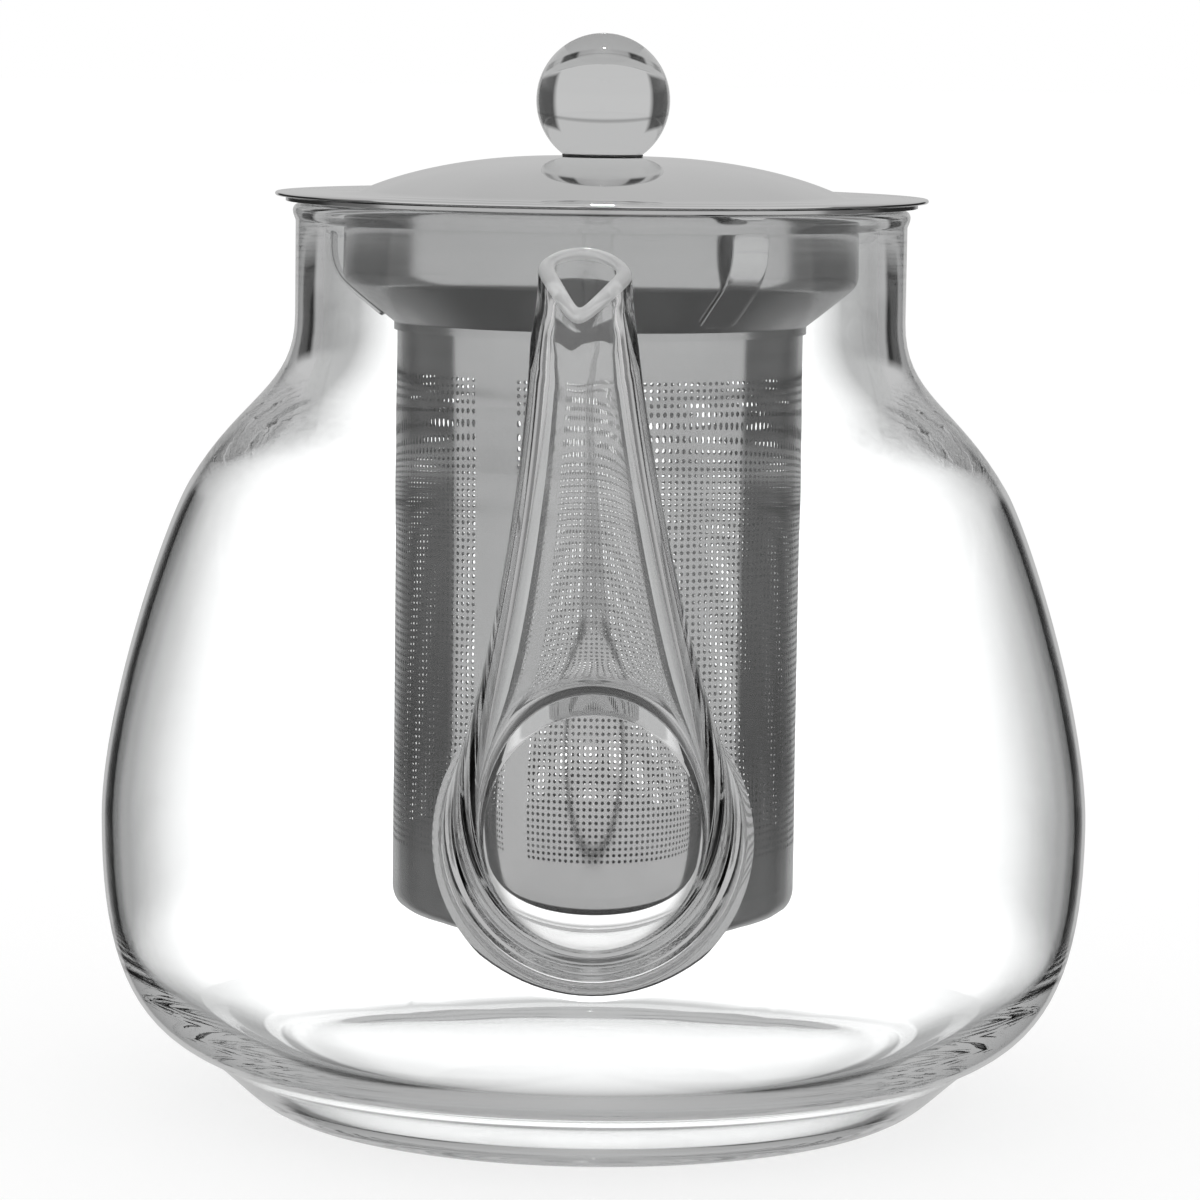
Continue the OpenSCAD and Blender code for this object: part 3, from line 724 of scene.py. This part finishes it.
def clip(name, angle):
    """One clip, at an angle in degrees round the axis."""
    length = clip_run + clip_arc + clip_stand
    bpy.ops.mesh.primitive_grid_add(x_subdivisions=32, y_subdivisions=6, size=MM)
    piece = bpy.context.object
    piece.name = piece.data.name = name + "_strip"
    bpy.ops.object.mode_set(mode="EDIT")
    bpy.ops.mesh.select_all(action="SELECT")
    bpy.ops.transform.resize(value=(length, clip_width, 1))
    bpy.ops.transform.translate(value=(length / 2 * MM, 0, 0))
    bpy.ops.object.mode_set(mode="OBJECT")
    # The free end is rounded, and the foot's corners are eased
    for v in piece.data.vertices:
        u, w = v.co.x / MM, v.co.y / MM
        for end, corner in ((length, clip_corner), (0, 0.6)):
            into = corner - abs(u - end)
            if into > 0:
                limit = clip_width / 2 - corner + math.sqrt(max(0, corner**2 - into**2))
                w = w / (clip_width / 2) * limit
        v.co.y = w * MM
    wall = piece.modifiers.new("wall", "SOLIDIFY")
    wall.thickness = clip_sheet * MM
    wall.offset = 1
    bpy.ops.object.modifier_apply(modifier=wall.name)
    edges = piece.modifiers.new("edges", "BEVEL")
    edges.width = 0.1 * MM
    edges.segments = 2
    edges.limit_method = "ANGLE"
    edges.angle_limit = math.radians(50)
    bpy.ops.object.modifier_apply(modifier=edges.name)
    around = Matrix.Rotation(math.radians(angle), 3, "Z")
    for v in piece.data.vertices:
        r, z = clip_place(v.co.x / MM, v.co.z / MM)
        v.co = around @ (Vector((r, v.co.y / MM, z)) * MM)
    bpy.ops.object.mode_set(mode="EDIT")
    bpy.ops.mesh.select_all(action="SELECT")
    bpy.ops.mesh.normals_make_consistent(inside=False)
    bpy.ops.object.mode_set(mode="OBJECT")
    bpy.ops.object.shade_smooth_by_angle(angle=math.radians(40))
    piece.data.materials.append(spring_steel)
    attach(piece, name)
    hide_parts(name)


for name, angle in (("clip_left", 180), ("clip_right", 300), ("clip_back", 60)):
    clip(name, angle)

# ---- Lid ----
# A disc of polished steel pressed up into a low dome with a broad flat brim, and a plain ring
# of thin steel welded under it that keeps it central in the cup.
lid_sheet, dome_height, ring_depth, ring_gap = 0.6, 5.7, 4.6, 0.4
ring_r = cup_r - sheet - ring_gap
dome_r, lid_r = ring_r - 1.1, neck_r + 3.1
brim_z = flange_z + sheet + seat_gap
lid_top = brim_z + dome_height + lid_sheet
seat_r, screw_r = 6.1, 1.3


def lid_line(down):
    """The dome's outline from the knob's seat out to the brim, a depth below its top face."""
    return [(seat_r - 3, lid_top - down)] + curve(
        (seat_r + 1, lid_top - down),
        (18, lid_top - down),
        (dome_r - 7.6 - down * 0.3, brim_z + lid_sheet + 3.6 - down),
        (dome_r - down * 0.4, brim_z + lid_sheet - down),
        30,
    )


polished_steel = steel_material("polished_steel", (0.80, 0.80, 0.80), 0.055, (0.2, 0.2, 6), 0.008)
edge_round = arc((lid_r - lid_sheet / 2, brim_z + lid_sheet / 2), lid_sheet / 2, 90, -90, 8)
brim_mid = mix(dome_r, lid_r, 0.5)
lid_disc = turned(
    "lid_disc_domed",
    [(screw_r, lid_top - lid_sheet), (screw_r, lid_top)]
    + lid_line(0)
    + [(brim_mid, brim_z + lid_sheet)]
    + edge_round
    + [(brim_mid, brim_z)]
    + lid_line(lid_sheet)[::-1]
    + [(screw_r, lid_top - lid_sheet)],
)
bpy.ops.object.shade_smooth_by_angle(angle=math.radians(50))
lid_disc.data.materials.append(polished_steel)
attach(lid_disc, "lid")
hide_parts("lid_disc")

lid_ring = turned(
    "lid_ring_rolled",
    [(ring_r, brim_z), (ring_r, brim_z - ring_depth / 2), (ring_r, brim_z - ring_depth)]
    + [(ring_r - sheet, brim_z - ring_depth), (ring_r - sheet, brim_z), (ring_r, brim_z)],
)
bpy.ops.object.shade_smooth_by_angle(angle=math.radians(40))
lid_ring.data.materials.append(turned_steel)
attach(lid_ring, "lid")
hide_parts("lid_ring")

# ---- Knob ----
# A ball of solid polished glass with a ground seat, held on the lid by a screw from below with a
# thin dark gasket between. The washer and the socket screw are small steel hardware.
ball_r, gasket_sheet, screw_reach = 10.05, 0.4, 1.6
ball_base = lid_top + gasket_sheet
ball_z = ball_base + math.sqrt(ball_r**2 - seat_r**2)
ball_centre = (0, 0, ball_z * MM)
bpy.ops.mesh.primitive_uv_sphere_add(segments=128, ring_count=64, radius=ball_r * MM, location=ball_centre)
knob_ball = bpy.context.object
knob_ball.name = knob_ball.data.name = "knob_ball_glass"
bpy.ops.object.transform_apply(location=True)
bpy.ops.object.mode_set(mode="EDIT")
bpy.ops.mesh.select_all(action="SELECT")
bpy.ops.mesh.bisect(plane_co=(0, 0, ball_base * MM), plane_no=(0, 0, 1), clear_inner=True, use_fill=True)
bpy.ops.mesh.inset(thickness=(seat_r - screw_r) * MM)
bpy.ops.mesh.extrude_region_move(TRANSFORM_OT_translate={"value": (0, 0, screw_reach * MM)})
bpy.ops.mesh.select_all(action="SELECT")
bpy.ops.mesh.normals_make_consistent(inside=False)
bpy.ops.object.mode_set(mode="OBJECT")
bpy.ops.object.shade_smooth_by_angle(angle=math.radians(35))
knob_glass = glass_material("knob_glass", 0.0)
knob_ball.data.materials.append(knob_glass)
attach(knob_ball, "lid")
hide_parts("knob_ball")

knob_gasket = turned(
    "knob_gasket_cut",
    [(screw_r, lid_top), (seat_r - 0.1, lid_top), (seat_r, lid_top + gasket_sheet / 2)]
    + [(seat_r - 0.1, lid_top + gasket_sheet), (screw_r, lid_top + gasket_sheet), (screw_r, lid_top)],
    96,
)
rubber = bpy.data.materials.new("gasket_rubber")
rubber.use_nodes = True
nodes, links = rubber.node_tree.nodes, rubber.node_tree.links
nodes["Principled BSDF"].inputs["Base Color"].default_value = (0.03, 0.03, 0.03, 1)
nodes["Principled BSDF"].inputs["Roughness"].default_value = 0.55
place, grain = nodes.new("ShaderNodeTexCoord"), nodes.new("ShaderNodeTexNoise")
bump = nodes.new("ShaderNodeBump")
grain.inputs["Scale"].default_value = 900
bump.inputs["Strength"].default_value = 0.15
bump.inputs["Distance"].default_value = 0.0002
links.new(place.outputs["Object"], grain.inputs["Vector"])
links.new(grain.outputs["Fac"], bump.inputs["Height"])
links.new(bump.outputs["Normal"], nodes["Principled BSDF"].inputs["Normal"])
knob_gasket.data.materials.append(rubber)
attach(knob_gasket, "lid")
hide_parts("knob_gasket")

# The washer and the screw keep the frame's own shapes, which nothing shows
for name in ("knob_washer", "knob_screw"):
    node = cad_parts[name]
    node.data.materials.clear()
    node.data.materials.append(turned_steel)

# ---- Floor ----
# A plain pale table top. It glows to the camera only, so it shows white and still keeps the
# object's shadow.
bpy.ops.mesh.primitive_circle_add(vertices=64, radius=0.5, fill_type="NGON", location=(0, 0, -0.0001))
floor = bpy.context.object
floor.name = "floor"
bpy.ops.object.mode_set(mode="EDIT")
bpy.ops.mesh.inset(thickness=0.2)
bpy.ops.object.mode_set(mode="OBJECT")
floor.scale = (60, 60, 1)
bpy.ops.object.transform_apply(scale=True)
white = bpy.data.materials.new("white_table")
white.use_nodes = True
nodes, links = white.node_tree.nodes, white.node_tree.links
nodes["Principled BSDF"].inputs["Base Color"].default_value = (0.26, 0.26, 0.26, 1)
nodes["Principled BSDF"].inputs["Roughness"].default_value = 0.9
nodes["Principled BSDF"].inputs["Specular IOR Level"].default_value = 0.0
nodes["Principled BSDF"].inputs["Emission Color"].default_value = (1, 1, 1, 1)
glow, path = nodes.new("ShaderNodeMath"), nodes.new("ShaderNodeLightPath")
glow.operation = "MULTIPLY"
glow.inputs[1].default_value = 0.79
links.new(path.outputs["Is Camera Ray"], glow.inputs[0])
links.new(glow.outputs[0], nodes["Principled BSDF"].inputs["Emission Strength"])
floor.data.materials.append(white)
floor.visible_transmission = False
floor.visible_glossy = False

# ---- Light ----
# A white studio: a pale cyclorama in front, a light grey backdrop, and two black flags behind the
# object to the left and right, which draw the dark edges of the glass. What a ray finds there
# depends on its direction and on how it was mirrored and bent on its way out.
world = bpy.data.worlds.new("studio")
bpy.context.scene.world = world
world.use_nodes = True
nodes, links = world.node_tree.nodes, world.node_tree.links
nodes.clear()


def calc(operation, a, b=None):
    """A maths node on sockets or numbers."""
    node = nodes.new("ShaderNodeMath")
    node.operation = operation
    for socket, value in zip(node.inputs, (a, b)):
        if isinstance(value, (int, float)):
            socket.default_value = value
        elif value is not None:
            links.new(value, socket)
    return node.outputs[0]


def in_degrees(angle):
    return calc("MULTIPLY", angle, 180 / math.pi)


def blend_by(share, a, b):
    """a where the share is 0 and b where it is 1."""
    return calc("ADD", calc("MULTIPLY", a, calc("SUBTRACT", 1, share)), calc("MULTIPLY", b, share))


def stops(angle, *pairs):
    """A ramp over an angle from 0 to 180 degrees, given as (angle, brightness) pairs."""
    ramp = nodes.new("ShaderNodeValToRGB")
    elements = ramp.color_ramp.elements
    while len(elements) < len(pairs):
        elements.new(0.5)
    for element, (at, grey) in zip(elements, pairs):
        element.position = at / 180
        element.color = (grey, grey, grey, 1)
    links.new(calc("DIVIDE", angle, 180), ramp.inputs["Fac"])
    return ramp.outputs["Color"]


place = nodes.new("ShaderNodeTexCoord")
parts = nodes.new("ShaderNodeSeparateXYZ")
links.new(place.outputs["Generated"], parts.inputs[0])
path = nodes.new("ShaderNodeLightPath")
# Degrees from straight behind the object, 0 to 180, and degrees above straight down, 0 to 180
around = calc("ABSOLUTE", in_degrees(calc("ARCTAN2", parts.outputs[0], parts.outputs[1])))
height = calc("ADD", in_degrees(calc("ARCSINE", parts.outputs[2])), 90)

# What polished and wet-looking surfaces mirror: a pale cyclorama in front, flags to the sides
front = stops(
    around,
    (0, 0.56), (18, 0.52), (21, 0.03), (60, 0.03), (68, 0.2), (92, 0.2), (95, 0.78), (180, 0.78),
)
top = stops(height, (0, 0), (96, 0), (102, 1), (180, 1))
low = stops(height, (0, 1), (36, 1), (48, 0), (180, 0))
mirrored = blend_by(low, blend_by(top, front, 0.58), 0.13)

# What a wall of the glass guides round its edge
guided = stops(
    around,
    (0, 0.5), (18, 0.42), (21, 0.02), (33, 0.02), (37, 0.5), (44, 0.45), (50, 0.2), (60, 0.2),
    (66, 0.5), (180, 0.6),
)
guided = blend_by(top, guided, 0.53)

# What is seen through one solid piece, such as the ball
ball_sides = stops(around, (0, 0.53), (31, 0.53), (36, 0.05), (64, 0.05), (70, 0.5), (180, 0.6))
ball_ends = stops(height, (0, 0.53), (70, 0.53), (74, 0), (108, 0), (112, 0.53), (180, 0.53))
solid = calc("MAXIMUM", ball_sides, ball_ends)
horizon = stops(height, (0, 1), (99.5, 1), (100.5, 0.6), (101.5, 0.6), (102.5, 0.95), (180, 0.95))
solid = calc("MULTIPLY", solid, horizon)

# What the steel inside the pot mirrors, with softer steps in the band that the cup mirrors
tube_side = stops(
    around,
    (0, 0.5), (28, 0.4), (36, 0.2), (50, 0.08), (63, 0.13), (91, 0.12), (93.5, 0.7), (180, 0.72),
)
cup_side = stops(
    around,
    (0, 0.3), (20, 0.1), (48, 0.0), (73, 0.04), (92, 0.22), (118, 0.5), (133, 0.58), (180, 0.5),
)
level = stops(height, (0, 0), (87, 0), (87.4, 1), (88.4, 1), (88.8, 0), (180, 0))
# The far edge of the table, as the tube's sides mirror it
table_edge = stops(height, (0, 1), (80.6, 1), (81.1, 0.3), (82, 0.3), (82.6, 1), (180, 1))
beside = stops(around, (0, 0), (20, 0), (30, 1), (90, 1), (93, 0), (180, 0))
tube_side = calc("MULTIPLY", tube_side, blend_by(beside, 1, table_edge))
steel = blend_by(level, tube_side, cup_side)
steel = blend_by(low, blend_by(top, steel, 0.55), 0.025)

# What is seen straight through both walls of the pot
through = stops(around, (0, 1), (6, 1), (12, 0.36), (36, 0.34), (42, 0.62), (180, 0.62))
through = calc("MULTIPLY", through, 1.5)
through = calc("MULTIPLY", through, stops(height, (0, 0.33), (52, 0.33), (74, 1), (180, 1)))


def more(kind, count):
    """1 where the ray was sent on in one way more than a number of times."""
    return calc("GREATER_THAN", path.outputs[kind], count + 0.5)


single = blend_by(more("Glossy Depth", 0), solid, guided)
double = blend_by(more("Glossy Depth", 0), through, steel)
studio = blend_by(more("Transmission Depth", 0), mirrored, single)
studio = blend_by(more("Transmission Depth", 2), studio, double)
# Light that is caught in the glass for long comes out an even grey
studio = blend_by(more("Ray Depth", 12), studio, 0.5)
# The edges of the spout, where light runs down inside the wall and little of it finds a way out
lost = calc("MULTIPLY", more("Glossy Depth", 6), calc("SUBTRACT", 1, more("Transmission Depth", 4)))
lost = calc("MULTIPLY", lost, calc("LESS_THAN", height, 68))
studio = blend_by(lost, studio, 0.01)

seen = calc("MAXIMUM", path.outputs["Is Glossy Ray"], path.outputs["Is Transmission Ray"])
soft = blend_by(seen, 0.85, studio)
final = blend_by(path.outputs["Is Camera Ray"], soft, 1.0)
background = nodes.new("ShaderNodeBackground")
links.new(final, background.inputs["Color"])
background.inputs["Strength"].default_value = 1.0
output = nodes.new("ShaderNodeOutputWorld")
links.new(background.outputs[0], output.inputs[0])

bpy.ops.object.light_add(type="AREA", location=(0, 0.16, 0.95))
lamp = bpy.context.object
lamp.name = "overhead_lamp"
lamp.data.shape = "DISK"
lamp.data.size = 0.05
lamp.data.energy = 4
lamp.visible_diffuse = False
lamp.rotation_euler = (math.radians(-10), 0, 0)

# ---- Camera ----
# It looks straight at the spout from 0.68 m away through a long lens, 6.8 degrees downwards and
# turned by less than a degree to hold the pot upright.
camera_data = bpy.data.cameras.new("camera")
camera = bpy.data.objects.new("camera", camera_data)
bpy.context.collection.objects.link(camera)
camera_data.lens, camera_data.sensor_width = 135, 36
camera.location = (0.00053, -0.680, 0.157)
look_down, roll = math.radians(6.8), math.radians(0.78)
aim = Matrix.Rotation(math.radians(90) - look_down, 3, "X") @ Matrix.Rotation(roll, 3, "Z")
camera.rotation_euler = aim.to_euler()
scene = bpy.context.scene
scene.camera = camera
scene.view_settings.view_transform = "Standard"
scene.cycles.max_bounces = 96
scene.cycles.transmission_bounces = 96
scene.cycles.glossy_bounces = 96
scene.cycles.transparent_max_bounces = 16
